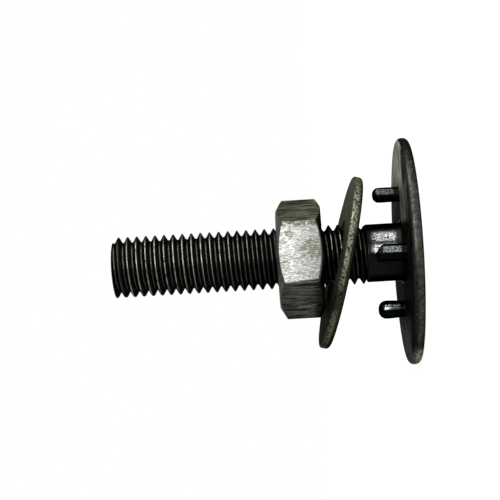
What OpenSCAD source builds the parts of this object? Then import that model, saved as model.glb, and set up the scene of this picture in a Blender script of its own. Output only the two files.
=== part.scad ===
// Elevator bolt: a wide flat head with four forged pins under it, a threaded
// shank, a loose flat washer and a hexagon nut. The bolt stands on its head,
// with the shank pointing up. Lengths are in millimetres, angles in degrees.

/* [Head] */
// Diameter of the head disc
head_d = 36.8; // [30:0.1:44]
// Thickness of the head disc
head_t = 1.8; // [1.4:0.1:3]
// Rounding of both rim edges
head_edge_r = 0.55; // [0.1:0.05:0.65]

/* [Pins] */
// How many pins stand on the underside of the head
pin_count = 4; // [2:1:6]
// Diameter of a pin
pin_d = 2.65; // [2:0.05:3.4]
// Length of a pin from the underside of the head
pin_length = 4.3; // [2.5:0.1:5]
// Diameter of the circle through the pin centres
pin_circle_d = 18.7; // [16:0.1:24]
// Bevel at the tip of a pin
pin_tip_bevel = 0.5; // [0.1:0.05:0.8]

/* [Shank] */
// Length from the underside of the head to the free end
shank_length = 47.2; // [34:0.1:80]
// Diameter of the plain neck under the head
neck_d = 9.45; // [9.2:0.05:9.7]
// Length of the plain neck
neck_length = 5.9; // [4.5:0.1:7]
// Fillet where the neck meets the head
neck_fillet_r = 0.6; // [0.2:0.1:1.2]
// Bevel at the free end
end_bevel = 1.4; // [0.5:0.1:1.8]

/* [Thread] */
// Outer diameter of the thread
thread_d = 9.95; // [9.85:0.01:9.97]
// Height that one turn of the thread climbs
pitch = 1.5; // [1.25:0.25:1.5]

/* [Washer] */
// Diameter of the washer
washer_d = 28.5; // [24:0.1:32]
// Thickness of the washer
washer_t = 1.55; // [1.2:0.05:2.5]
// Diameter of the hole in the washer
washer_hole_d = 13.5; // [12.5:0.1:15]
// Rounding of the washer's rim edges
washer_edge_r = 0.35; // [0.1:0.05:0.5]
// Bevel of the hole edges of the washer
washer_hole_bevel = 0.2; // [0.05:0.05:0.3]
// Height of the washer's centre above the underside of the head
washer_rise = 10.05; // [9.4:0.05:20]
// Tilt of the washer along the way it hangs
washer_tilt = 14.5; // [5:0.5:16]
// Lean of the washer to the side
washer_lean = 2.3; // [0:0.1:4]

/* [Nut] */
// Width of the nut across its flats
nut_across_flats = 17; // [16:0.1:19]
// Height of the nut
nut_height = 7.3; // [6:0.05:10]
// Diameter of the nut's outer face inside its corner bevels
nut_face_d = 15.4; // [14:0.1:15.8]
// Diameter of the nut's bearing face inside its smaller corner bevels
nut_seat_d = 16.3; // [14:0.1:16.8]
// Angle of the corner bevels from the face of the nut
nut_bevel_angle = 30; // [15:1:35]
// Depth of the countersink at each end of the nut's bore
nut_countersink = 0.5; // [0.2:0.05:0.8]
// Angle through which the nut is turned on the shank
nut_turned = 7; // [0:1:59]

/* [Fits] */
// Gap between the thread and the edge of the washer it hangs on
washer_hang_gap = 0.1; // [0.05:0.05:0.3]
// How far the nut hangs off the shank's axis by the play in its thread
nut_play = 0.25; // [0:0.05:0.3]
// Gap between the top of the thread and the nut's bore
nut_bore_gap = 0.08; // [0.05:0.01:0.15]
// Gap between the nut and the highest point of the washer under it
nut_washer_gap = 0.2; // [0.2:0.05:1]

/* [Hidden] */
$fn = 96;

bolt_height = head_t + shank_length;
neck_top = head_t + neck_length;

// The thread has 60 degree flanks, a crest flat of an eighth of the pitch
// and the depth of a metric bolt thread.
thread_depth = 0.6134 * pitch;
crest_flat = pitch / 8;
flank_rise = thread_depth * tan(30);
thread_r = thread_d / 2;
root_r = thread_r - thread_depth;
// Points along one pitch of the thread: crest start, crest end, root start, root end
profile_rise = [0, crest_flat, crest_flat + flank_rise, pitch - flank_rise];
profile_points = len(profile_rise);
profile_r = [thread_r, thread_r, root_r, root_r];
thread_sides = 24;
// The helical grid starts inside the neck and runs past the free end, and both ends are trimmed off
run_in = 1.2 * pitch;
grid_start = neck_top - run_in - pitch;
thread_turns = ceil((bolt_height - grid_start) / pitch) + 1;
grid_rows = profile_points * thread_turns;
trim_margin = 1;

washer_r = washer_d / 2;
washer_hole_r = washer_hole_d / 2;
washer_z = head_t + washer_rise;
washer_slope = acos(cos(washer_tilt) * cos(washer_lean));
washer_drop = washer_hole_r * cos(washer_tilt) - washer_t / 2 * sin(washer_tilt)
            - thread_r - washer_hang_gap;

nut_corner_r = nut_across_flats / 2 / cos(30);
nut_face_r = nut_face_d / 2;
nut_seat_r = nut_seat_d / 2;
nut_bore_r = thread_r + nut_play + nut_bore_gap;
// The outline that bevels the corners reaches a little past them
nut_reach = nut_corner_r + trim_margin;
washer_top_under_nut = washer_z + washer_t / 2 / cos(washer_slope)
                     + (nut_seat_r + nut_play - washer_drop) * tan(washer_slope);
nut_z = washer_top_under_nut + nut_washer_gap;

function grid_point(i, j) =
    let (turn = floor(j / profile_points), k = j % profile_points, a = 360 * i / thread_sides)
    [profile_r[k] * cos(a), profile_r[k] * sin(a),
     grid_start + pitch * (turn + i / thread_sides) + profile_rise[k]];

// A column past the last one is the first column again, one turn higher
function grid_index(i, j) =
    i < thread_sides ? j * thread_sides + i : (j + profile_points) * thread_sides;

// Points of the helical grid, then one on the axis at each end
thread_points = concat(
    [for (j = [0 : grid_rows]) for (i = [0 : thread_sides - 1]) grid_point(i, j)],
    [[0, 0, grid_start + pitch / 2],
     [0, 0, grid_start + pitch * (thread_turns + 0.5)]]);
low_centre = (grid_rows + 1) * thread_sides;
high_centre = low_centre + 1;

// Rims of the grid: round the first or the last row, then along the step where the turn closes
low_rim = concat([for (i = [0 : thread_sides]) grid_index(i, 0)],
                 [for (j = [profile_points - 1 : -1 : 1]) grid_index(0, j)]);
high_rim = concat([for (i = [0 : thread_sides - 1]) grid_index(i, grid_rows)],
                  [for (j = [1 : profile_points])
                      grid_index(thread_sides - 1, grid_rows - j)]);

thread_faces = concat(
    [for (i = [0 : thread_sides - 1])
        for (j = [0 : grid_rows - 1 - (i == thread_sides - 1 ? profile_points : 0)])
            each [[grid_index(i, j), grid_index(i, j + 1), grid_index(i + 1, j + 1)],
                  [grid_index(i, j), grid_index(i + 1, j + 1), grid_index(i + 1, j)]]],
    [for (k = [0 : len(low_rim) - 1])
        [low_centre, low_rim[k], low_rim[(k + 1) % len(low_rim)]]],
    [for (k = [0 : len(high_rim) - 1])
        [high_centre, high_rim[(k + 1) % len(high_rim)], high_rim[k]]]);

module helical_thread() {
    polyhedron(points = thread_points, faces = thread_faces);
}

// Everything that the thread keeps: it fades out into the neck and is bevelled at the free end
module thread_envelope() {
    rotate_extrude()
        polygon([
            [0, neck_top - run_in],
            [neck_d / 2 - 0.2, neck_top - run_in],
            [neck_d / 2 - 0.2, neck_top - 0.1],
            [thread_r + trim_margin, neck_top + trim_margin + 0.15],
            [thread_r + trim_margin, bolt_height - end_bevel + trim_margin],
            [thread_r - end_bevel, bolt_height],
            [0, bolt_height]
        ]);
}

module rounded_disc_profile(r, t, edge_r) {
    square([r - edge_r, t]);
    translate([0, edge_r])
        square([r, t - 2 * edge_r]);
    for (z = [edge_r, t - edge_r])
        translate([r - edge_r, z])
            circle(r = edge_r);
}

module head_and_neck() {
    neck_r = neck_d / 2;
    rotate_extrude() {
        rounded_disc_profile(head_d / 2, head_t, head_edge_r);
        square([neck_r, neck_top]);
        difference() {
            translate([0, head_t - 0.01])
                square([neck_r + neck_fillet_r, neck_fillet_r + 0.01]);
            translate([neck_r + neck_fillet_r, head_t + neck_fillet_r])
                circle(r = neck_fillet_r);
        }
    }
}

module pin() {
    cylinder(h = pin_length - pin_tip_bevel, d = pin_d);
    translate([0, 0, pin_length - pin_tip_bevel])
        cylinder(h = pin_tip_bevel, r1 = pin_d / 2, r2 = pin_d / 2 - pin_tip_bevel);
}

module bolt() {
    color("dimgray")
    union() {
        head_and_neck();
        for (k = [0 : pin_count - 1])
            rotate([0, 0, 360 / pin_count * k])
                translate([pin_circle_d / 2, 0, head_t])
                    pin();
        intersection() {
            helical_thread();
            thread_envelope();
        }
    }
}

module flat_washer() {
    color("olivedrab")
    translate([-washer_drop, 0, washer_z])
        rotate([washer_lean, washer_tilt, 0])
            translate([0, 0, -washer_t / 2])
                rotate_extrude()
                    difference() {
                        rounded_disc_profile(washer_r, washer_t, washer_edge_r);
                        polygon([
                            [0, -1],
                            [washer_hole_r + washer_hole_bevel + 1, -1],
                            [washer_hole_r, washer_hole_bevel],
                            [washer_hole_r, washer_t - washer_hole_bevel],
                            [washer_hole_r + washer_hole_bevel + 1, washer_t + 1],
                            [0, washer_t + 1]
                        ]);
                    }
}

module hex_nut() {
    color("silver")
    translate([-nut_play, 0, nut_z])
        difference() {
            intersection() {
                rotate([0, 0, nut_turned])
                    cylinder(h = nut_height, r = nut_corner_r, $fn = 6);
                rotate_extrude()
                    polygon([
                        [0, 0],
                        [nut_seat_r, 0],
                        [nut_reach, (nut_reach - nut_seat_r) * tan(nut_bevel_angle)],
                        [nut_reach, nut_height - (nut_reach - nut_face_r) * tan(nut_bevel_angle)],
                        [nut_face_r, nut_height],
                        [0, nut_height]
                    ]);
            }
            translate([0, 0, -1])
                cylinder(h = nut_height + 2, r = nut_bore_r);
            rotate_extrude()
                polygon([
                    [0, -1],
                    [nut_bore_r + nut_countersink + 1, -1],
                    [nut_bore_r, nut_countersink],
                    [nut_bore_r, nut_height - nut_countersink],
                    [nut_bore_r + nut_countersink + 1, nut_height + 1],
                    [0, nut_height + 1]
                ]);
        }
}

bolt();
flat_washer();
hex_nut();
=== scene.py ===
# Elevator bolt on a pale floor: a flat head with four pins, a threaded shank, a loose washer and a nut.
# Lengths are in metres. Z runs along the shank, and the head lies on the floor.
import math

import bmesh
import bpy
from mathutils import Matrix, Vector


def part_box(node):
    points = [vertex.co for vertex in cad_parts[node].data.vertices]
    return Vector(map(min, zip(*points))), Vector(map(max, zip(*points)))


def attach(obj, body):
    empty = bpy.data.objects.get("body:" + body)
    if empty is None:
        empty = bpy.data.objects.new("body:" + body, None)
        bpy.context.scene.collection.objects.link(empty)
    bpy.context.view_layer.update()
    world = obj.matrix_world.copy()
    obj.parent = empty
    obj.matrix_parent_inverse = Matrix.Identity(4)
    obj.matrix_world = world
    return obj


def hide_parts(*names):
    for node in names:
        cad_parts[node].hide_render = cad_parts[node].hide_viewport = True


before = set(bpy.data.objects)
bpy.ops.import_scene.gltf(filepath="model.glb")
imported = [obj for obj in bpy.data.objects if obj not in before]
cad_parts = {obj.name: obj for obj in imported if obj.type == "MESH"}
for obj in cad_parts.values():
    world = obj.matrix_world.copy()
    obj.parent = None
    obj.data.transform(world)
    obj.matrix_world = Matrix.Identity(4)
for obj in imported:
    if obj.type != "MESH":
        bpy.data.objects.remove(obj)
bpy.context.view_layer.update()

_, bolt_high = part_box("bolt")
washer_low, washer_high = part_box("flat_washer")
nut_low, nut_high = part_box("hex_nut")

MM = 0.001
FULL_TURN = math.tau
Z_AXIS = Vector((0, 0, 1))
ORIGIN = Vector((0, 0, 0))
MERGE_DISTANCE = 0.0004 * MM
CREASE_ANGLE = math.radians(35)
# How far a shape that cuts another one reaches past it
MARGIN = 1 * MM

# Head and neck
HEAD_RADIUS = bolt_high.x
HEAD_THICKNESS = 1.8 * MM
FACE_EDGE_RADIUS = 0.8 * MM
UNDERSIDE_EDGE_RADIUS = 0.75 * MM
NECK_RADIUS = 4.725 * MM
NECK_TOP = HEAD_THICKNESS + 5.9 * MM
NECK_FILLET = 0.6 * MM
NECK_BEVEL = 0.25 * MM
NECK_INNER_RING = NECK_RADIUS - 1.2 * MM

# Pins on the underside of the head
PIN_CIRCLE_RADIUS = 9.35 * MM
PIN_LENGTH = 4.3 * MM
FRONT_PIN_LENGTH = 4.75 * MM
PIN_BASE_FILLET = 0.12 * MM
PIN_ROOT_DEPTH = 0.6 * MM
PIN_BODY_STEPS = 8
PIN_CUT_NORMAL = Vector((0.8, 0, 1)).normalized()
# Angle, radius at the base, radius in the middle, length, roundness of the tip and depth of a slanted cut
PINS = ((0, 1.22 * MM, 1.24 * MM, PIN_LENGTH, 0.85, 0),
        (90, 1.3 * MM, 1.38 * MM, PIN_LENGTH, 0.7, 0),
        (180, 1.36 * MM, 1.5 * MM, PIN_LENGTH, 0.85, 0),
        (270, 1.36 * MM, 1.38 * MM, FRONT_PIN_LENGTH, 0.5, 1.1 * MM))

# Thread
THREAD_RADIUS = 4.975 * MM
PITCH = 1.5 * MM
THREAD_DEPTH = 0.6134 * PITCH
FLANK_ANGLE = math.radians(30)
CREST_RADIUS = 0.16 * MM
ROOT_RADIUS = 0.16 * MM
THREAD_STEPS = 72
CREST_ARC_STEPS = 6
RUN_IN = 1.2 * PITCH
# Middle of the first crest, whose flat is an eighth of the pitch wide
FIRST_CREST = NECK_TOP - RUN_IN - PITCH + PITCH / 16
THREAD_START = NECK_TOP - RUN_IN + 0.5 * MM
# The run-out of the thread begins this far inside the neck and below its top
RUN_OUT_INSET = 0.38 * MM
RUN_OUT_DROP = 0.1 * MM
END_BEVEL = 1.4 * MM

# Washer
WASHER_RADIUS = 14.25 * MM
WASHER_THICKNESS = 1.55 * MM
WASHER_HOLE_RADIUS = 6.75 * MM
WASHER_ROLLED_EDGE = 0.6 * MM
WASHER_UPPER_EDGE = 0.4 * MM
WASHER_HOLE_EDGE = 0.3 * MM
WASHER_TILT = math.radians(14.5)
WASHER_LEAN = math.radians(2.3)
WASHER_CENTRE = (washer_low + washer_high) / 2

# Nut
NUT_PLAY = 0.25 * MM
NUT_SIDES = 6
NUT_CORNER_RADIUS = 8.5 * MM / math.cos(math.pi / NUT_SIDES)
NUT_FACE_RADIUS = 7.9 * MM
NUT_SEAT_RADIUS = 8.4 * MM
NUT_BEVEL_ANGLE = math.radians(30)
NUT_TURNED = math.radians(8.2)
NUT_LOW = nut_low.z
NUT_HIGH = nut_high.z
NUT_EDGE_ROUNDING = 0.12 * MM
NUT_ROUNDED_FROM = math.radians(20)
NUT_MINOR_RADIUS = 4.6 * MM
NUT_MAJOR_RADIUS = 5.24 * MM
NUT_CREST_RADIUS = 0.12 * MM
NUT_ROOT_RADIUS = 0.1 * MM
NUT_COUNTERSINK_RADIUS = NUT_MAJOR_RADIUS + 0.25 * MM
NUT_COUNTERSINK_DEPTH = 0.65 * MM
TAP_REACH = 0.3 * MM


def in_mm(*values):
    """Millimetres in the script's own unit."""
    return tuple(value * MM for value in values)


def polar(radius, angle):
    """Place across and along of a point at an angle in radians."""
    return radius * math.cos(angle), radius * math.sin(angle)


def spread(start, end, steps):
    """Angles in radians from start to end, which are in degrees."""
    return [math.radians(start + (end - start) * k / steps) for k in range(steps + 1)]


def arc(centre, radius, start, end, steps):
    """Points of an arc round centre, with its angles in degrees."""
    points = []
    for turn in spread(start, end, steps):
        across, up = polar(radius, turn)
        points.append((centre[0] + across, centre[1] + up))
    return points


def add_outline(mesh, points, closed=False):
    """Edges through (radius, height) points in the XZ plane."""
    verts = [mesh.verts.new((across, 0, up)) for across, up in points]
    pairs = list(zip(verts, verts[1:]))
    if closed:
        pairs.append((verts[-1], verts[0]))
    return verts + [mesh.edges.new(pair) for pair in pairs]


def finish_shell(mesh):
    """Welds a shell and turns its faces outwards."""
    bmesh.ops.remove_doubles(mesh, verts=mesh.verts[:], dist=MERGE_DISTANCE)
    bmesh.ops.recalc_face_normals(mesh, faces=mesh.faces[:])


def revolve(points, closed=False, steps=144):
    """Solid of revolution about Z. An open outline starts and ends on the axis."""
    mesh = bmesh.new()
    outline = add_outline(mesh, points, closed)
    bmesh.ops.spin(mesh, geom=outline, cent=ORIGIN, axis=Z_AXIS, dvec=ORIGIN,
                   angle=FULL_TURN, steps=steps, use_merge=True)
    finish_shell(mesh)
    return mesh


def link_new(name, data):
    """A new object in the scene."""
    made = bpy.data.objects.new(name, data)
    bpy.context.scene.collection.objects.link(made)
    return made


def to_object(mesh, name):
    """A new object in the scene that takes over a shape."""
    data = bpy.data.meshes.new(name)
    mesh.to_mesh(data)
    mesh.free()
    return link_new(name, data)


def apply_modifiers(piece):
    """Gives a piece the mesh that its modifiers make of it."""
    bpy.context.view_layer.update()
    shape = piece.evaluated_get(bpy.context.evaluated_depsgraph_get())
    result = bpy.data.meshes.new_from_object(shape)
    piece.modifiers.clear()
    old = piece.data
    piece.data = result
    bpy.data.meshes.remove(old)


def combine(piece, others, operation):
    """Joins solids to a piece, cuts it with them or keeps what they share, and removes them."""
    for other in others:
        step = piece.modifiers.new("combine", "BOOLEAN")
        step.operation = operation
        step.solver = "EXACT"
        step.object = other
    apply_modifiers(piece)
    for other in others:
        data = other.data
        bpy.data.objects.remove(other)
        bpy.data.meshes.remove(data)


def smooth_shading(piece):
    """Removes slivers and smooths the faces, with sharp creases kept."""
    mesh = bmesh.new()
    mesh.from_mesh(piece.data)
    bmesh.ops.dissolve_degenerate(mesh, edges=mesh.edges[:], dist=MERGE_DISTANCE)
    mesh.to_mesh(piece.data)
    mesh.free()
    piece.data.shade_smooth()
    piece.data.set_sharp_from_angle(angle=CREASE_ANGLE)


def trim(mesh, point, normal):
    """Removes what lies past a plane and closes the cut."""
    cut = bmesh.ops.bisect_plane(mesh, geom=mesh.verts[:] + mesh.edges[:] + mesh.faces[:],
                                 plane_co=point, plane_no=normal, clear_outer=True)
    rim = [part for part in cut["geom_cut"] if isinstance(part, bmesh.types.BMEdge)]
    bmesh.ops.edgeloop_fill(mesh, edges=rim)


def thread_outline(crest, root, crest_radius, root_radius):
    """One pitch of a thread outline, from one root to the next, with the crest at height 0.

    The flank runs straight between the two arcs, and what is left of the pitch is flat at the root.
    """
    side = 90 - math.degrees(FLANK_ANGLE)
    sign = 1 if crest > root else -1
    depth = abs(crest - root)
    arc_share = 1 - math.cos(math.radians(side))
    crest_half = crest_radius * math.sin(math.radians(side))
    flank_depth = depth - arc_share * (crest_radius + root_radius)
    flank_rise = flank_depth * math.tan(FLANK_ANGLE)
    root_centre = crest_half + flank_rise + root_radius * math.sin(math.radians(side))
    crest_points = [(crest - sign * crest_radius * (1 - math.cos(turn)), crest_radius * math.sin(turn))
                    for turn in spread(-side, side, CREST_ARC_STEPS)]
    low_root = [(root + sign * root_radius * (1 - math.cos(turn)),
                 -root_centre + root_radius * math.sin(turn))
                for turn in spread(0, side, CREST_ARC_STEPS // 2)]
    high_root = [(across, -up) for across, up in reversed(low_root)]
    start = [(root, -PITCH / 2)]
    end = [(root, PITCH / 2)]
    return start + low_root + crest_points + high_root + end


def helical_solid(outline, first_crest, turns, low_cut, high_cut):
    """Closed solid with a right-hand thread about Z, cut flat at both ends."""
    mesh = bmesh.new()
    geometry = add_outline(mesh, [(across, up + first_crest) for across, up in outline])
    bmesh.ops.spin(mesh, geom=geometry, cent=ORIGIN, axis=Z_AXIS, dvec=Z_AXIS * PITCH / THREAD_STEPS,
                   angle=FULL_TURN, steps=THREAD_STEPS, use_merge=False)
    one_turn = mesh.faces[:]
    for turn in range(1, turns):
        copy = bmesh.ops.duplicate(mesh, geom=one_turn)
        moved = [part for part in copy["geom"] if isinstance(part, bmesh.types.BMVert)]
        bmesh.ops.translate(mesh, verts=moved, vec=Z_AXIS * PITCH * turn)
    bmesh.ops.remove_doubles(mesh, verts=mesh.verts[:], dist=MERGE_DISTANCE)
    trim(mesh, Z_AXIS * low_cut, -Z_AXIS)
    trim(mesh, Z_AXIS * high_cut, Z_AXIS)
    finish_shell(mesh)
    return mesh


def head_and_neck():
    """Head disc with rounded rim edges, and the plain neck with its fillet."""
    points = [(0, 0)]
    points += arc((HEAD_RADIUS - FACE_EDGE_RADIUS, FACE_EDGE_RADIUS), FACE_EDGE_RADIUS, -90, 0, steps=6)
    points += arc((HEAD_RADIUS - UNDERSIDE_EDGE_RADIUS, HEAD_THICKNESS - UNDERSIDE_EDGE_RADIUS),
                  UNDERSIDE_EDGE_RADIUS, 0, 90, steps=8)
    points += arc((NECK_RADIUS + NECK_FILLET, HEAD_THICKNESS + NECK_FILLET), NECK_FILLET, 270, 180, steps=6)
    points += arc((NECK_RADIUS - NECK_BEVEL, NECK_TOP - NECK_BEVEL), NECK_BEVEL, 0, 90, steps=4)
    # The ring inside the thread keeps the faces of the neck's top short
    points += [(NECK_INNER_RING, NECK_TOP), (0, NECK_TOP)]
    return revolve(points)


def pin(angle, radius_at_base, radius_at_middle, length, tip_roundness, slant):
    """A forged pin with a fillet at its base and a rounded tip, which may be cut at a slant."""
    tip_radius = radius_at_middle * tip_roundness
    straight_end = length - tip_radius
    foot_radius = radius_at_base + PIN_BASE_FILLET
    points = [(0, -PIN_ROOT_DEPTH), (foot_radius, -PIN_ROOT_DEPTH)]
    points += arc((foot_radius, PIN_BASE_FILLET), PIN_BASE_FILLET, 270, 180, steps=4)
    for k in range(1, PIN_BODY_STEPS):
        share = k / PIN_BODY_STEPS
        height = PIN_BASE_FILLET + (straight_end - PIN_BASE_FILLET) * share
        bulge = math.sin(share * math.pi / 2) ** 2
        points.append((radius_at_base + (radius_at_middle - radius_at_base) * bulge, height))
    points += arc((radius_at_middle - tip_radius, straight_end), tip_radius, 0, 90, steps=8)
    points.append((0, length))
    mesh = revolve(points, steps=40)
    if slant:
        trim(mesh, Vector((radius_at_middle, 0, length - slant)), PIN_CUT_NORMAL)
        finish_shell(mesh)
    across, along = polar(PIN_CIRCLE_RADIUS, math.radians(angle))
    bmesh.ops.translate(mesh, verts=mesh.verts[:], vec=(across, along, HEAD_THICKNESS))
    return mesh


def thread_envelope():
    """Everything the thread keeps: it runs out into the neck and is bevelled at the free end."""
    end = bolt_high.z
    low = NECK_TOP - RUN_IN
    inside_neck = NECK_RADIUS - RUN_OUT_INSET
    run_out = NECK_TOP - RUN_OUT_DROP
    past_thread = THREAD_RADIUS + MARGIN
    outline = [(0, low), (inside_neck, low), (inside_neck, run_out),
               (past_thread, run_out + past_thread - inside_neck),
               (past_thread, end - END_BEVEL + MARGIN),
               (THREAD_RADIUS - END_BEVEL, end), (0, end)]
    return revolve(outline, steps=120)


def build_bolt():
    """Threaded shank, neck, head and pins in one solid."""
    outline = thread_outline(THREAD_RADIUS, THREAD_RADIUS - THREAD_DEPTH, CREST_RADIUS, ROOT_RADIUS)
    turns = math.ceil((bolt_high.z - FIRST_CREST) / PITCH) + 2
    thread = helical_solid(outline, FIRST_CREST, turns, THREAD_START, bolt_high.z)
    shank = to_object(thread, "bolt_with_pins")
    combine(shank, [to_object(thread_envelope(), "envelope")], "INTERSECT")
    solids = [to_object(head_and_neck(), "head")]
    solids += [to_object(pin(*form), "pin") for form in PINS]
    combine(shank, solids, "UNION")
    smooth_shading(shank)
    return shank


def build_washer():
    """Flat ring with rounded edges, tilted as it hangs on the thread."""
    half = WASHER_THICKNESS / 2
    rolled = WASHER_ROLLED_EDGE
    upper = WASHER_UPPER_EDGE
    hole = WASHER_HOLE_EDGE
    points = arc((WASHER_RADIUS - rolled, -half + rolled), rolled, -90, 0, steps=8)
    points += arc((WASHER_RADIUS - upper, half - upper), upper, 0, 90, steps=6)
    points += arc((WASHER_HOLE_RADIUS + hole, half - hole), hole, 90, 180, steps=5)
    points += arc((WASHER_HOLE_RADIUS + hole, -half + hole), hole, 180, 270, steps=5)
    mesh = revolve(points, closed=True, steps=180)
    turn = Matrix.Rotation(WASHER_TILT, 3, "Y") @ Matrix.Rotation(WASHER_LEAN, 3, "X")
    bmesh.ops.rotate(mesh, verts=mesh.verts[:], cent=ORIGIN, matrix=turn)
    bmesh.ops.translate(mesh, verts=mesh.verts[:], vec=WASHER_CENTRE)
    washer = to_object(mesh, "washer_ring")
    smooth_shading(washer)
    return washer


def nut_blank():
    """Hexagonal bar of the nut's height, turned as the nut is."""
    mesh = bmesh.new()
    bmesh.ops.create_cone(mesh, cap_ends=True, segments=NUT_SIDES, radius1=NUT_CORNER_RADIUS,
                          radius2=NUT_CORNER_RADIUS, depth=NUT_HIGH - NUT_LOW)
    # The corner that points most nearly along X is turned to the nut's angle
    first = max(mesh.verts, key=lambda vert: vert.co.x)
    turn = NUT_TURNED - math.atan2(first.co.y, first.co.x)
    bmesh.ops.rotate(mesh, verts=mesh.verts[:], cent=ORIGIN, matrix=Matrix.Rotation(turn, 3, "Z"))
    bmesh.ops.translate(mesh, verts=mesh.verts[:], vec=Z_AXIS * (NUT_HIGH + NUT_LOW) / 2)
    return mesh


def nut_envelope():
    """Round outline that bevels the corners of the nut at both ends."""
    reach = NUT_CORNER_RADIUS + MARGIN
    slope = math.tan(NUT_BEVEL_ANGLE)
    return revolve([(0, NUT_LOW), (NUT_SEAT_RADIUS, NUT_LOW),
                    (reach, NUT_LOW + (reach - NUT_SEAT_RADIUS) * slope),
                    (reach, NUT_HIGH - (reach - NUT_FACE_RADIUS) * slope),
                    (NUT_FACE_RADIUS, NUT_HIGH), (0, NUT_HIGH)])


def nut_tap():
    """The threaded shape that is cut out of the nut."""
    outline = thread_outline(NUT_MINOR_RADIUS, NUT_MAJOR_RADIUS, NUT_CREST_RADIUS, NUT_ROOT_RADIUS)
    # The nut's crests lie between the bolt's
    crest_height = FIRST_CREST + PITCH / 2
    turns = math.ceil((NUT_HIGH - crest_height) / PITCH) + 3
    return helical_solid(outline, crest_height, turns, NUT_LOW - TAP_REACH, NUT_HIGH + TAP_REACH)


def nut_countersinks():
    """Cones that open the bore at both ends of the nut."""
    outline = [(0, NUT_LOW - MARGIN), (NUT_COUNTERSINK_RADIUS + MARGIN, NUT_LOW - MARGIN),
               (NUT_MINOR_RADIUS, NUT_LOW + NUT_COUNTERSINK_DEPTH)]
    outline += [(across, NUT_HIGH + NUT_LOW - up) for across, up in reversed(outline)]
    return revolve(outline)


def build_nut():
    """Hexagon nut with bevelled corners, rounded edges and an internal thread."""
    nut = to_object(nut_blank(), "nut_shell")
    combine(nut, [to_object(nut_envelope(), "envelope")], "INTERSECT")
    rounding = nut.modifiers.new("edge rounding", "BEVEL")
    rounding.width = NUT_EDGE_ROUNDING
    rounding.segments = 3
    rounding.limit_method = "ANGLE"
    rounding.angle_limit = NUT_ROUNDED_FROM
    apply_modifiers(nut)
    tools = [to_object(nut_tap(), "tap"), to_object(nut_countersinks(), "countersinks")]
    combine(nut, tools, "DIFFERENCE")
    nut.data.transform(Matrix.Translation((-NUT_PLAY, 0, 0)))
    smooth_shading(nut)
    return nut


def place(tree, kind, inputs=None, **settings):
    """A new node. Each input takes a plain value or another node's output."""
    node = tree.nodes.new(kind)
    for name, value in settings.items():
        setattr(node, name, value)
    for name, value in (inputs or {}).items():
        if isinstance(value, bpy.types.NodeSocket):
            tree.links.new(value, node.inputs[name])
        else:
            node.inputs[name].default_value = value
    return node


def calculate(tree, operation, *values, clamp=False):
    """The result of a math node."""
    inputs = dict(enumerate(values))
    return place(tree, "ShaderNodeMath", inputs, operation=operation, use_clamp=clamp).outputs[0]


def product(tree, first, *others):
    """Several values multiplied."""
    for other in others:
        first = calculate(tree, "MULTIPLY", first, other)
    return first


def ramp(tree, value, low, high, result_low=0.0, result_high=1.0):
    """Goes smoothly from one result to the other while value goes from low to high."""
    inputs = {"Value": value, "From Min": low, "From Max": high,
              "To Min": result_low, "To Max": result_high}
    return place(tree, "ShaderNodeMapRange", inputs, interpolation_type="SMOOTHSTEP").outputs[0]


def fall(tree, value, low, high):
    """Goes smoothly from 1 to 0 while value goes from low to high."""
    return ramp(tree, value, low, high, 1, 0)


def vary(tree, share, result_none, result_full):
    """One result where share is 0 and the other where it is 1."""
    return ramp(tree, share, 0, 1, result_none, result_full)


def band(tree, value, limits, soft):
    """1 where value lies between two limits, with soft borders outside them."""
    low, high = limits
    return product(tree, ramp(tree, value, low - soft, low), fall(tree, value, high, high + soft))


def slanted_line(tree, along, slant, across):
    """Across, shifted in proportion to the distance along, so that a border on it runs at a slant."""
    return calculate(tree, "MULTIPLY_ADD", along, slant, across)


def blend(tree, share, first, second):
    """A mix of two colours."""
    return place(tree, "ShaderNodeMix", {0: share, 6: first, 7: second}, data_type="RGBA").outputs[2]


def split(tree, vector):
    """The three coordinates of a vector."""
    return place(tree, "ShaderNodeSeparateXYZ", {0: vector}).outputs


def grey(level, olive=0.0):
    """A grey that turns to olive as olive goes to 1."""
    return level, level, level * (1 - 0.26 * olive), 1


def new_group(name, inputs, outputs):
    """A shader group with named sockets: inputs with their values, outputs with their kinds."""
    group = bpy.data.node_groups.new(name, "ShaderNodeTree")
    for label, value in inputs.items():
        kind = "NodeSocketVector" if isinstance(value, tuple) else "NodeSocketFloat"
        group.interface.new_socket(label, in_out="INPUT", socket_type=kind).default_value = value
    for label, kind in outputs.items():
        group.interface.new_socket(label, in_out="OUTPUT", socket_type=kind)
    return group, group.nodes.new("NodeGroupInput").outputs, group.nodes.new("NodeGroupOutput").inputs


def use_group(tree, group, **inputs):
    """The outputs of a group that is placed in a material with its own values."""
    return place(tree, "ShaderNodeGroup", inputs, node_tree=group).outputs


def round_coordinates_group():
    """Radius from the Z axis, height along it, and a vector for marks that run round it."""
    group, given, made = new_group("round_coordinates", {"Vector": (0, 0, 0)},
                                   {"Radius": "NodeSocketFloat", "Height": "NodeSocketFloat",
                                    "Round": "NodeSocketVector"})
    parts = split(group, given["Vector"])
    squares = [calculate(group, "MULTIPLY", parts[k], parts[k]) for k in range(2)]
    radius = calculate(group, "SQRT", calculate(group, "ADD", *squares))
    angle = calculate(group, "ARCTAN2", parts[1], parts[0])
    turned = place(group, "ShaderNodeCombineXYZ", {0: radius, 1: angle, 2: parts[2]}).outputs[0]
    group.links.new(radius, made["Radius"])
    group.links.new(parts[2], made["Height"])
    group.links.new(turned, made["Round"])
    return group


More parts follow.
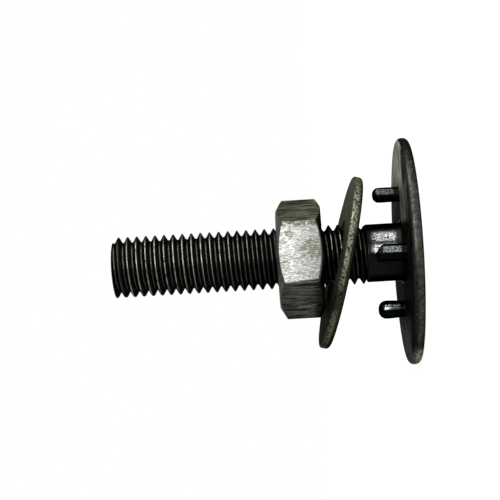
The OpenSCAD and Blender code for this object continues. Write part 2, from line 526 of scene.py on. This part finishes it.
def streaks_group():
    """Long marks. Scale says how close together they are along each direction."""
    group, given, made = new_group("streaks", {"Vector": (0, 0, 0), "Scale": (1, 1, 1), "Contrast": 0.2,
                                               "Detail": 3.0}, {"Streaks": "NodeSocketFloat"})
    stretched = place(group, "ShaderNodeVectorMath", {0: given["Vector"], 1: given["Scale"]},
                      operation="MULTIPLY").outputs[0]
    marks = place(group, "ShaderNodeTexNoise", {"Vector": stretched, "Scale": 1.0, "Roughness": 0.6,
                                                "Detail": given["Detail"]}).outputs[0]
    low = calculate(group, "SUBTRACT", 0.5, given["Contrast"])
    high = calculate(group, "ADD", 0.5, given["Contrast"])
    group.links.new(ramp(group, marks, low, high), made["Streaks"])
    return group


def specks_group():
    """Small irregular spots that cover a share of the surface."""
    group, given, made = new_group("specks", {"Vector": (0, 0, 0), "Scale": 1000.0, "Cover": 0.5,
                                              "Edge": 0.06}, {"Specks": "NodeSocketFloat"})
    marks = place(group, "ShaderNodeTexNoise", {"Vector": given["Vector"], "Scale": given["Scale"],
                                                "Detail": 2.0, "Roughness": 0.55}).outputs[0]
    # The marks run from about 0.25 to 0.75, and the more cover, the more of them pass
    middle = calculate(group, "SUBTRACT", 0.75, calculate(group, "MULTIPLY", given["Cover"], 0.5))
    low = calculate(group, "SUBTRACT", middle, given["Edge"])
    high = calculate(group, "ADD", middle, given["Edge"])
    group.links.new(ramp(group, marks, low, high), made["Specks"])
    return group


def spot_group():
    """A soft patch round one point, with a ragged edge."""
    group, given, made = new_group("spot", {"Vector": (0, 0, 0), "Centre": (0, 0, 0), "Radius": 0.001},
                                   {"Spot": "NodeSocketFloat"})
    away = place(group, "ShaderNodeVectorMath", {0: given["Vector"], 1: given["Centre"]},
                 operation="DISTANCE").outputs[1]
    wobble = place(group, "ShaderNodeTexNoise", {"Vector": given["Vector"], "Scale": 1400.0,
                                                 "Detail": 2.0}).outputs[0]
    ragged = calculate(group, "MULTIPLY", away, calculate(group, "ADD", wobble, 0.5))
    near = calculate(group, "MULTIPLY", given["Radius"], 0.5)
    group.links.new(fall(group, ragged, near, given["Radius"]), made["Spot"])
    return group


round_coordinates = round_coordinates_group()
streaks = streaks_group()
specks = specks_group()
spot = spot_group()


def streaked(tree, position, scale, contrast, detail=3.0):
    """Streaks as a mask."""
    return use_group(tree, streaks, Vector=position, Scale=scale, Contrast=contrast,
                     Detail=detail)["Streaks"]


def speckled(tree, position, scale, cover, edge):
    """Specks as a mask."""
    return use_group(tree, specks, Vector=position, Scale=scale, Cover=cover, Edge=edge)["Specks"]


# Share of a full turn by which the stretched gleam on turned marks is turned, to run along the piece
GLEAM_TURN = 0.25


class Finish:
    """A material under way: its tree, its shader and the coordinates of the piece."""

    def __init__(self, name, edge_tint, turned=0.0):
        self.material = bpy.data.materials.new(name)
        self.material.use_nodes = True
        self.tree = self.material.node_tree
        self.shader = self.tree.nodes["Principled BSDF"]
        self.shader.inputs["Metallic"].default_value = 1
        self.shader.inputs["Specular Tint"].default_value = edge_tint
        if turned:
            self.shader.inputs["Anisotropic"].default_value = turned
            self.shader.inputs["Anisotropic Rotation"].default_value = GLEAM_TURN
            tangent = place(self.tree, "ShaderNodeTangent", direction_type="RADIAL", axis="Z").outputs[0]
            self.tree.links.new(tangent, self.shader.inputs["Tangent"])
        self.position = place(self.tree, "ShaderNodeTexCoord").outputs["Object"]

    def set(self, colour, roughness, metallic=None):
        """Gives the shader its colour and roughness, and where they vary also its share of metal."""
        self.tree.links.new(colour, self.shader.inputs["Base Color"])
        self.tree.links.new(roughness, self.shader.inputs["Roughness"])
        if metallic is not None:
            self.tree.links.new(metallic, self.shader.inputs["Metallic"])

    def dull_edges(self):
        """Takes away the gloss that is not metal's own."""
        self.shader.inputs["Specular IOR Level"].default_value = 0

    def bump(self, height, depth):
        """Relief that is depth deep where height goes from 0 to 1."""
        relief = place(self.tree, "ShaderNodeBump", {"Height": height, "Distance": depth})
        self.tree.links.new(relief.outputs[0], self.shader.inputs["Normal"])


# The black scale, and the marks turned round the neck and the pins
BLACK_ROUGHNESS = 0.34
TURNED_MARKS = 0.85

# Scuffed crests and painted light on the thread: radii of its crests and roots, heights over which the
# crests take a painted light that grows towards the free end, heights where the last one is black, and a
# patch of painted glinting specks near the neck
CREST_RADII = in_mm(4.91, 4.967)
ROOT_RADII = in_mm(4.06, 4.14)
LIT_CREST_HEIGHTS = in_mm(20, 36)
LAST_CREST_HEIGHTS = in_mm(45.9, 46.8)
PAINTED_GLINT_HEIGHTS = in_mm(8.2, 13.6)
PAINTED_GLINT_SIDE = in_mm(1, 3)
# Towards the nut only the upper side of the crests takes the painted light, and the lower side is painted
# shade
LIT_SIDE_MIDDLE = 30 * MM
LIT_SIDE_SLANT = 0.4
LIT_SIDE = in_mm(-3, 2)


def thread_finish():
    """Black thread with scuffed crests and painted light on them: more towards the free end, only on the
    upper side near the nut, and as glinting specks near the neck.
    """
    finish = Finish("thread_black", edge_tint=grey(0.05))
    tree = finish.tree
    around = use_group(tree, round_coordinates, Vector=finish.position)
    height = around["Height"]
    side = split(tree, finish.position)[0]
    crest = ramp(tree, around["Radius"], *CREST_RADII)
    root = fall(tree, around["Radius"], *ROOT_RADII)
    last = ramp(tree, height, *LAST_CREST_HEIGHTS, 1, 0.1)
    patches = speckled(tree, finish.position, 900, cover=0.72, edge=0.15)
    # Painted glinting specks on the crests near the neck
    painted_glints = product(tree, band(tree, height, PAINTED_GLINT_HEIGHTS, soft=0.4 * MM),
                     band(tree, side, PAINTED_GLINT_SIDE, soft=0.6 * MM), 0.8)
    # Painted light on the crests, growing towards the free end, and painted shade on their lower side near
    # the nut
    slanted = slanted_line(tree, calculate(tree, "SUBTRACT", height, LIT_SIDE_MIDDLE), LIT_SIDE_SLANT, side)
    painted_light = product(tree, ramp(tree, height, *LIT_CREST_HEIGHTS, 0.1, 1),
                   ramp(tree, slanted, *LIT_SIDE, 0.3, 1))
    scuffed_and_lit = product(tree, calculate(tree, "MAXIMUM", painted_light, painted_glints), last, patches)
    grain = streaked(tree, around["Round"], (6000, 40, 6000), contrast=0.18)
    black = blend(tree, grain, grey(0.012, 0.4), grey(0.06, 0.4))
    flank = blend(tree, product(tree, root, 0.12), black, grey(0.08, 0.3))
    top = blend(tree, scuffed_and_lit, grey(0.018, 0.4), grey(0.24, 0.3))
    roughness = vary(tree, product(tree, crest, scuffed_and_lit), BLACK_ROUGHNESS, 0.24)
    finish.set(blend(tree, crest, flank, top), roughness)
    finish.bump(grain, depth=0.004 * MM)
    return finish.material


# Painted highlight on the neck: its length and side, and a line in it that stays black as a painted gap
# between two reflections
NECK_HIGHLIGHT_HEIGHTS = (3.4 * MM, NECK_TOP - 1.4 * MM)
NECK_HIGHLIGHT_SIDE = in_mm(0.4, 2.9)
NECK_REFLECTION_GAP = in_mm(1.5, 1.8)


def neck_finish():
    """Black neck with a painted highlight of bright specks on one side. Its turned marks draw the light out
    along it.
    """
    finish = Finish("neck_black", edge_tint=grey(0.05), turned=TURNED_MARKS)
    tree = finish.tree
    across, _, height = split(tree, finish.position)
    # Painted highlight: a band of bright specks on one side, cut by a black line that is a painted gap
    # between two lamp reflections
    painted_light = product(tree, band(tree, height, NECK_HIGHLIGHT_HEIGHTS, soft=0.8 * MM),
                   band(tree, across, NECK_HIGHLIGHT_SIDE, soft=0.7 * MM))
    reflection_gap = product(tree, band(tree, across, NECK_REFLECTION_GAP, soft=0.2 * MM), 0.7)
    bright = speckled(tree, finish.position, 5000, cover=0.46, edge=0.14)
    share = product(tree, bright, painted_light, calculate(tree, "SUBTRACT", 1, reflection_gap))
    finish.set(blend(tree, share, grey(0.015), grey(0.5)), vary(tree, share, BLACK_ROUGHNESS, 0.28))
    finish.bump(bright, depth=0.003 * MM)
    return finish.material


# Painted highlight on the pins: the side and heights of its bright specks, the cool greys of the scale and
# the highlit steel
PIN_HIGHLIGHT_SIDE = in_mm(0.25, 0.85)
PIN_HIGHLIGHT_HEIGHTS = (HEAD_THICKNESS + 1.1 * MM, HEAD_THICKNESS + 3.5 * MM)
PIN_BLACK = (0.005, 0.007, 0.0065, 1)
PIN_HIGHLIT_STEEL = (0.5, 0.56, 0.52, 1)


def pin_finish():
    """Black pins with a painted highlight of bright steel specks along one side."""
    finish = Finish("pin_black", edge_tint=grey(0), turned=TURNED_MARKS)
    tree = finish.tree
    side, _, height = split(tree, finish.position)
    # Across is counted from the middle of the nearest pin
    half_spacing = PIN_CIRCLE_RADIUS / 2
    across = calculate(tree, "WRAP", side, half_spacing, -half_spacing)
    mottle = speckled(tree, finish.position, 4300, cover=0.56, edge=0.09)
    # The painted highlight is weaker on the front pin than on the low one, and weakest on the one that
    # faces the top lamp
    highlight_weight = product(tree, ramp(tree, side, -PIN_CIRCLE_RADIUS, 0, 1, 0.34),
                   ramp(tree, side, 0, PIN_CIRCLE_RADIUS, 1, 0.5))
    # Painted highlight: bright steel specks in a band along one side of each pin
    share = product(tree, mottle, band(tree, across, PIN_HIGHLIGHT_SIDE, soft=0.3 * MM),
                    band(tree, height, PIN_HIGHLIGHT_HEIGHTS, soft=0.4 * MM), highlight_weight)
    finish.set(blend(tree, share, PIN_BLACK, PIN_HIGHLIT_STEEL), vary(tree, share, BLACK_ROUGHNESS, 0.26))
    finish.bump(mottle, depth=0.004 * MM)
    return finish.material


# Regions of the head's painted light and shade, across it and in depth, where less is nearer to the camera
UNDERSIDE_HEIGHTS = (HEAD_THICKNESS - 0.25 * MM, HEAD_THICKNESS - 0.05 * MM)
HEAD_FAR_DEPTHS = in_mm(-8.6, -7.2)
HEAD_DIM_SIDE = in_mm(4, 9)
HEAD_LIT_EDGE_SIDE = in_mm(8.5, 12.5)
HEAD_FAINTLY_LIT_SIDE = in_mm(-14, -9)
HEAD_PAINTED_LIGHT_SIDE = in_mm(5.5, 10)
HEAD_PAINTED_LIGHT_DEPTHS = in_mm(-14, -3)
RIM_TIP_SIDE = in_mm(-16.5, -14.5)
RIM_SHADED_EDGE_HEIGHTS = in_mm(0.02, 0.3)


def underside_colour(tree, position):
    """Black scale in lit and shaded copies: painted shade round the neck and pins, a dim side, a band of
    painted light, a painted reflection of light at its edge and a fainter one on the side across from it.
    """
    across, depth, _ = split(tree, position)
    marks = streaked(tree, position, (230, 300, 60), contrast=0.17, detail=8)
    fine = speckled(tree, position, 1100, cover=0.5, edge=0.06)
    scrapes = product(tree, marks, vary(tree, fine, 0.6, 1))
    # Lit and shaded copies of the streaked scale: black is painted shade, and the others are painted light
    black = blend(tree, scrapes, grey(0.002, 0.4), grey(0.012, 0.5))
    dim = blend(tree, scrapes, grey(0.008, 0.4), grey(0.05, 0.5))
    faintly_lit = blend(tree, scrapes, grey(0.03, 0.4), grey(0.14, 0.5))
    painted_light = blend(tree, scrapes, grey(0.025, 0.6), grey(0.18, 0.6))
    light = blend(tree, scrapes, grey(0.15, 0.6), grey(0.48, 0.6))
    # The painted reflections of light lie on the far part
    far_part = ramp(tree, depth, *HEAD_FAR_DEPTHS)
    painted_light_part = product(tree, band(tree, across, HEAD_PAINTED_LIGHT_SIDE, soft=1.2 * MM),
                        band(tree, depth, HEAD_PAINTED_LIGHT_DEPTHS, soft=1.5 * MM))
    colour = blend(tree, ramp(tree, across, *HEAD_DIM_SIDE), black, dim)
    colour = blend(tree, product(tree, fall(tree, across, *HEAD_FAINTLY_LIT_SIDE), far_part), colour, faintly_lit)
    colour = blend(tree, painted_light_part, colour, painted_light)
    return blend(tree, product(tree, ramp(tree, across, *HEAD_LIT_EDGE_SIDE), far_part), colour, light)


def rim_colour(tree, position, height, mottle):
    """Dusty black rim with a light tip, and painted shade along its edge at the outer face."""
    across = split(tree, position)[0]
    dust = speckled(tree, position, 2600, cover=0.15, edge=0.04)
    colour = blend(tree, mottle, grey(0.026, 0.4), grey(0.056, 0.5))
    colour = blend(tree, dust, colour, grey(0.14, 0.3))
    light = blend(tree, mottle, grey(0.2, 0.5), grey(0.5, 0.5))
    colour = blend(tree, ramp(tree, across, *RIM_TIP_SIDE, 0.8, 0), colour, light)
    # Painted shade: the rounded edge at the outer face is near black
    return blend(tree, fall(tree, height, *RIM_SHADED_EDGE_HEIGHTS), colour, grey(0.008))


def head_finish():
    """Black scale on the head with scrape marks and small specks, and painted light and shade on the
    underside and rim edge.
    """
    finish = Finish("head_black", edge_tint=grey(0))
    finish.dull_edges()
    tree = finish.tree
    height = split(tree, finish.position)[2]
    underside = ramp(tree, height, *UNDERSIDE_HEIGHTS)
    mottle = speckled(tree, finish.position, 1500, cover=0.5, edge=0.15)
    colour = blend(tree, underside, rim_colour(tree, finish.position, height, mottle),
                   underside_colour(tree, finish.position))
    finish.set(colour, vary(tree, mottle, 0.45, 0.38), metallic=vary(tree, underside, 1, 0.3))
    finish.bump(mottle, depth=0.01 * MM)
    return finish.material


# Regions of the washer, across it from its low side to its high side, which also carry its painted light
# and shade
WASHER_RIM_RADII = (WASHER_RADIUS - 0.45 * MM, WASHER_RADIUS - 0.2 * MM)
WASHER_HIGH_SIDE = in_mm(2, 9)
WASHER_LOW_SIDE = in_mm(-6, -2)
WASHER_SHADED_PART = in_mm(-6.8, -4.8)
WASHER_LIT_TAIL = in_mm(-12.2, -8.6)
WASHER_ROLLED_HEIGHTS = in_mm(-0.24, 0)


def washer_face_colour(tree, own, rings):
    """Olive face with painted shade on the low side, and drawn marks under painted light on the high side.
    """
    across = split(tree, own)[0]
    face = blend(tree, rings, grey(0.018, 1), grey(0.04, 1))
    low = blend(tree, rings, grey(0.004, 0.8), grey(0.014, 0.8))
    marks = streaked(tree, own, (90, 330, 90), contrast=0.13, detail=5)
    drawn = blend(tree, marks, grey(0.025, 1.1), grey(0.11, 1.1))
    high = blend(tree, 0.4, drawn, blend(tree, rings, grey(0.03, 1.1), grey(0.09, 1.1)))
    # Painted shade on the low side of the face and painted light on its high side
    face = blend(tree, fall(tree, across, *WASHER_LOW_SIDE), face, low)
    return blend(tree, ramp(tree, across, *WASHER_HIGH_SIDE), face, high)


def washer_rim_colour(tree, own, nicks, gleams):
    """Nicked rim with gleams, with painted light on the high side and near the low end, and painted shade
    on the rolled edge and in a part of the low side.
    """
    across, _, height = split(tree, own)
    high = ramp(tree, across, *WASHER_HIGH_SIDE)
    # The dark grey of the nicks serves also as the painted shade below; the rim is lighter on the high side
    # as painted light
    nicked = grey(0.014, 0.8)
    rim = blend(tree, nicks, blend(tree, high, grey(0.12, 1), grey(0.15, 1)), nicked)
    rim = blend(tree, gleams, rim, blend(tree, high, grey(0.15, 0.9), grey(0.28, 0.9)))
    # Painted light near the low end of the rim
    lit_tail = blend(tree, nicks, grey(0.2, 1), grey(0.05, 1))
    rim = blend(tree, band(tree, across, WASHER_LIT_TAIL, soft=1.2 * MM), rim, lit_tail)
    # Painted shade on the rolled edge, weaker on the high side, and in a part of the low side
    rolled = product(tree, fall(tree, height, *WASHER_ROLLED_HEIGHTS), vary(tree, high, 0.9, 0.35))
    shaded = product(tree, band(tree, across, WASHER_SHADED_PART, soft=1.4 * MM), 0.75)
    return blend(tree, calculate(tree, "MAXIMUM", rolled, shaded), rim, nicked)


def washer_finish():
    """Olive zinc on the washer, with a nicked and speckled rim, darker faces, and painted light and shade.
    """
    finish = Finish("washer_olive", edge_tint=grey(0.2, 1.8))
    finish.dull_edges()
    tree = finish.tree
    own = place(tree, "ShaderNodeMapping", {"Vector": finish.position, "Location": WASHER_CENTRE,
                                            "Rotation": (WASHER_LEAN, WASHER_TILT, 0)},
                vector_type="TEXTURE").outputs[0]
    around = use_group(tree, round_coordinates, Vector=own)
    rim = ramp(tree, around["Radius"], *WASHER_RIM_RADII)
    rings = streaked(tree, around["Round"], (2000, 9, 2000), contrast=0.25)
    nicks = speckled(tree, own, 2400, cover=0.42, edge=0.05)
    gleams = speckled(tree, own, 3400, cover=0.35, edge=0.05)
    colour = blend(tree, rim, washer_face_colour(tree, own, rings),
                   washer_rim_colour(tree, own, nicks, gleams))
    finish.set(colour, vary(tree, gleams, 0.5, 0.38), metallic=vary(tree, rim, 0.35, 1))
    finish.bump(calculate(tree, "SUBTRACT", rings, product(tree, nicks, rim)), depth=0.02 * MM)
    return finish.material


# The nut's flats by the way they face before the nut is turned, in degrees
NUT_FRONT_FLAT = 270
NUT_OLIVE_FLAT = 330
NUT_DIM_FLAT = 210
# A flat's colour begins and is whole this far inside it
NUT_FLAT_DEPTHS = in_mm(0.16, 0.05)
# Centre and radius of each olive stain on the front flat
NUT_STAINS = ((in_mm(1.4, -8.4, 16.4), 2.4 * MM), (in_mm(-0.3, -8.4, 21.3), 1.2 * MM),
              (in_mm(3.8, -8.2, 19.9), 0.9 * MM))
# Borders of the front flat that are dark, and a light scratch on the darker flat
NUT_DENTED_EDGE = in_mm(4.7, 5.4)
NUT_DARK_EDGE = in_mm(-4.0, -3.7)
NUT_DARK_EDGE_SLANT = 0.07
NUT_SCRATCH = in_mm(-5.04, -4.96)
NUT_SCRATCH_SLANT = 0.163
NUT_SCRATCH_HEIGHTS = in_mm(16.2, 18.9)
# Heights above the bevels on the washer's side at which their dark border ends
NUT_SEAT_BORDER = in_mm(0.2, 0.35)


def flat_share(tree, position, angle):
    """1 on the flat of the nut that faces along angle, and 0 on the others."""
    facing = polar(1, NUT_TURNED + math.radians(angle))
    out = place(tree, "ShaderNodeVectorMath", {0: position, 1: (*facing, 0)},
                operation="DOT_PRODUCT").outputs[1]
    # The nut hangs off the axis by its play
    flat = NUT_CORNER_RADIUS * math.cos(math.pi / NUT_SIDES) - NUT_PLAY * facing[0]
    begins, whole = NUT_FLAT_DEPTHS
    return ramp(tree, out, flat - begins, flat - whole)


def nut_front_colour(tree, position, grit, dashes):
    """Bright drawn steel with olive stains, dented at one end of the front flat and dark at the other."""
    across, _, height = split(tree, position)
    cuts = streaked(tree, position, (4600, 4600, 1100), contrast=0.04)
    dents = speckled(tree, position, 2600, cover=0.6, edge=0.08)
    bright = blend(tree, dashes, grey(0.17, 0.3), grey(0.365, 0.1))
    bright = blend(tree, grit, blend(tree, 0.35, bright, grey(0.14, 0.4)), bright)
    stained = 0.0
    for centre, radius in NUT_STAINS:
        patch = use_group(tree, spot, Vector=position, Centre=centre, Radius=radius)["Spot"]
        stained = calculate(tree, "MAXIMUM", stained, patch)
    stain = product(tree, stained, vary(tree, cuts, 0.9, 0.15))
    bright = blend(tree, stain, bright, grey(0.09, 1.6))
    front = flat_share(tree, position, NUT_FRONT_FLAT)
    dented = product(tree, front, ramp(tree, across, *NUT_DENTED_EDGE), dents)
    bright = blend(tree, dented, bright, grey(0.07, 0.7))
    slanted = slanted_line(tree, calculate(tree, "SUBTRACT", height, NUT_HIGH), NUT_DARK_EDGE_SLANT, across)
    return blend(tree, product(tree, front, fall(tree, slanted, *NUT_DARK_EDGE)), bright, grey(0.012))


def nut_scratch(tree, across, height, grit):
    """A long light scratch across the darker flat."""
    line = slanted_line(tree, height, NUT_SCRATCH_SLANT, across)
    return product(tree, band(tree, line, NUT_SCRATCH, soft=0.07 * MM),
                   band(tree, height, NUT_SCRATCH_HEIGHTS, soft=0.4 * MM), vary(tree, grit, 0.3, 1))


def nut_finish():
    """Bright steel with drawn marks along the flats, olive on one flat and darker on another."""
    finish = Finish("nut_bright", edge_tint=grey(0.35, 0.4))
    tree = finish.tree
    across, _, height = split(tree, finish.position)
    dashes = streaked(tree, finish.position, (5200, 5200, 1800), contrast=0.08)
    lines = streaked(tree, finish.position, (1500, 1500, 250), contrast=0.12)
    grit = speckled(tree, finish.position, 4500, cover=0.5, edge=0.1)
    rough_lines = product(tree, lines, vary(tree, grit, 0.5, 1))
    olive = blend(tree, rough_lines, grey(0.038, 1), grey(0.23, 1))
    dim = blend(tree, rough_lines, grey(0.026, 0.5), grey(0.165, 0.5))
    dim = blend(tree, nut_scratch(tree, across, height, grit), dim, grey(0.3, 0.3))
    colour = nut_front_colour(tree, finish.position, grit, dashes)
    colour = blend(tree, flat_share(tree, finish.position, NUT_OLIVE_FLAT), colour, olive)
    colour = blend(tree, flat_share(tree, finish.position, NUT_DIM_FLAT), colour, dim)
    radius = use_group(tree, round_coordinates, Vector=finish.position)["Radius"]
    slope = math.tan(NUT_BEVEL_ANGLE)
    bevel_top = calculate(tree, "MULTIPLY_ADD", radius, slope, NUT_LOW - NUT_SEAT_RADIUS * slope)
    seat_side = fall(tree, calculate(tree, "SUBTRACT", height, bevel_top), *NUT_SEAT_BORDER)
    finish.set(blend(tree, seat_side, colour, grey(0.03, 0.5)), vary(tree, dashes, 0.46, 0.42))
    finish.bump(calculate(tree, "ADD", dashes, lines), depth=0.003 * MM)
    return finish.material


def finish_bolt(piece):
    """Gives each region of the bolt its own material by where its faces lie."""
    for material in (thread_finish(), neck_finish(), pin_finish(), head_finish()):
        piece.data.materials.append(material)
    thread_region, neck_region, pin_region, head_region = range(4)
    above_head = HEAD_THICKNESS + 0.02 * MM
    for face in piece.data.polygons:
        radius = math.hypot(face.center.x, face.center.y)
        if face.center.z > NECK_TOP - NECK_BEVEL:
            face.material_index = thread_region
        elif radius < NECK_RADIUS + NECK_FILLET and face.center.z > above_head:
            face.material_index = neck_region
        elif face.center.z > above_head:
            face.material_index = pin_region
        else:
            face.material_index = head_region


bolt = build_bolt()
washer = build_washer()
nut = build_nut()
for piece in (bolt, washer, nut):
    piece.data.materials.clear()
finish_bolt(bolt)
washer.data.materials.append(washer_finish())
nut.data.materials.append(nut_finish())

for piece, body, node, slot in ((bolt, "bolt", "bolt", "bolt_steel"),
                                (washer, "washer", "flat_washer", "washer_steel"),
                                (nut, "nut", "hex_nut", "nut_steel")):
    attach(piece, body)
    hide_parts(node)


# The camera stands in front of the bolt and lies on its side, so that the head is at the right
VIEW_TARGET = Vector((1.668 * MM, 0, 26.5 * MM))
CAMERA_DISTANCE = 196.7 * MM
CAMERA_YAW = math.radians(2.3)
CAMERA_ROLL = math.radians(3.35)
CAMERA_LENS = 86.4
SENSOR_WIDTH = 36
SEEN_FROM = 10 * MM
SEEN_TO = 100

# The soft boxes face the bolt: name, angle from the front towards the top of the picture, rise along the
# shank, width, height and brightness
LAMP_DISTANCE = 0.6
LAMPS = (("front_lamp", math.radians(18), 0.25, 0.34, 0.4, 6),
         ("top_lamp", math.radians(72), 0.3, 0.6, 0.4, 4.5))
WORLD_BRIGHTNESS = 0.3

# The floor lies just under the head, and the backdrop stands behind the bolt
FLOOR_RADIUS = 12
FLOOR_DROP = 0.02 * MM
BACKDROP_HALF_WIDTH = 0.5
BACKDROP_PLACE = (0, 1.2, 0.5)
GLOW_DISTANCES = (0.06, 0.4)
WHITE_PAINT = 0.9


def add_camera():
    """Camera that lies on its side in front of the bolt and looks at it."""
    to_camera = Vector((0, -math.cos(CAMERA_YAW), -math.sin(CAMERA_YAW)))
    level_right = Vector((0, math.sin(CAMERA_YAW), -math.cos(CAMERA_YAW)))
    level_up = Vector((1, 0, 0))
    up = math.cos(CAMERA_ROLL) * level_up + math.sin(CAMERA_ROLL) * level_right
    right = math.cos(CAMERA_ROLL) * level_right - math.sin(CAMERA_ROLL) * level_up
    camera = link_new("camera", bpy.data.cameras.new("camera"))
    camera.data.lens = CAMERA_LENS
    camera.data.sensor_width = SENSOR_WIDTH
    camera.data.clip_start = SEEN_FROM
    camera.data.clip_end = SEEN_TO
    turn = Matrix((right, up, to_camera)).transposed().to_4x4()
    camera.matrix_world = Matrix.Translation(VIEW_TARGET + CAMERA_DISTANCE * to_camera) @ turn
    bpy.context.scene.camera = camera


def add_lamp(name, angle, rise, width, height, radiance):
    """Soft box that faces the bolt and is as bright at any size."""
    lamp = link_new(name, bpy.data.lights.new(name, "AREA"))
    lamp.data.shape = "RECTANGLE"
    lamp.data.size = width
    lamp.data.size_y = height
    lamp.data.energy = radiance * math.pi * width * height
    away = Vector((math.sin(angle), -math.cos(angle), rise)).normalized()
    across = Z_AXIS.cross(away).normalized()
    turn = Matrix((across, away.cross(across), away)).transposed().to_4x4()
    lamp.matrix_world = Matrix.Translation(VIEW_TARGET + away * LAMP_DISTANCE) @ turn


def add_lights():
    """Pale world and the soft boxes."""
    world = bpy.data.worlds.new("world")
    world.use_nodes = True
    background = world.node_tree.nodes["Background"]
    background.inputs["Color"].default_value = grey(1)
    background.inputs["Strength"].default_value = WORLD_BRIGHTNESS
    bpy.context.scene.world = world
    for lamp in LAMPS:
        add_lamp(*lamp)


def stage_white(name, glow_near, glow_far, shaded_albedo):
    """White in the picture and in reflections: a glow, and a matt part that takes the shadow.

    The glow is weaker near the bolt, where the lamps add to it. To all other rays it is white paint.
    """
    material = bpy.data.materials.new(name)
    material.use_nodes = True
    tree = material.node_tree
    tree.nodes.clear()
    path = place(tree, "ShaderNodeLightPath").outputs
    seen = calculate(tree, "ADD", path["Is Camera Ray"], path["Is Glossy Ray"])
    seen = calculate(tree, "ADD", seen, path["Is Transmission Ray"], clamp=True)
    position = place(tree, "ShaderNodeTexCoord").outputs["Object"]
    distance = place(tree, "ShaderNodeVectorMath", {0: position}, operation="LENGTH").outputs[1]
    glow = ramp(tree, distance, *GLOW_DISTANCES, glow_near, glow_far)
    paint = place(tree, "ShaderNodeBsdfDiffuse", {"Color": grey(WHITE_PAINT)}).outputs[0]
    matt = place(tree, "ShaderNodeBsdfDiffuse", {"Color": grey(shaded_albedo)}).outputs[0]
    light = place(tree, "ShaderNodeEmission", {"Strength": glow}).outputs[0]
    white = place(tree, "ShaderNodeAddShader", {0: light, 1: matt}).outputs[0]
    surface = place(tree, "ShaderNodeMixShader", {0: seen, 1: paint, 2: white}).outputs[0]
    place(tree, "ShaderNodeOutputMaterial", {"Surface": surface})
    return material


def add_stage():
    """White floor and backdrop, which belong to the picture and not to the part."""
    mesh = bmesh.new()
    bmesh.ops.create_circle(mesh, cap_ends=True, segments=96, radius=FLOOR_RADIUS)
    bmesh.ops.translate(mesh, verts=mesh.verts[:], vec=(0, 0, -FLOOR_DROP))
    floor = to_object(mesh, "floor")
    floor.data.materials.append(stage_white("floor_white", glow_near=0.86, glow_far=1, shaded_albedo=0.35))
    mesh = bmesh.new()
    bmesh.ops.create_grid(mesh, x_segments=1, y_segments=1, size=BACKDROP_HALF_WIDTH)
    bmesh.ops.rotate(mesh, verts=mesh.verts[:], cent=ORIGIN, matrix=Matrix.Rotation(math.pi / 2, 3, "X"))
    bmesh.ops.translate(mesh, verts=mesh.verts[:], vec=BACKDROP_PLACE)
    backdrop = to_object(mesh, "backdrop")
    backdrop.data.materials.append(stage_white("backdrop_white", glow_near=1, glow_far=1, shaded_albedo=0))


add_camera()
add_lights()
add_stage()
bpy.context.scene.view_settings.view_transform = "Standard"
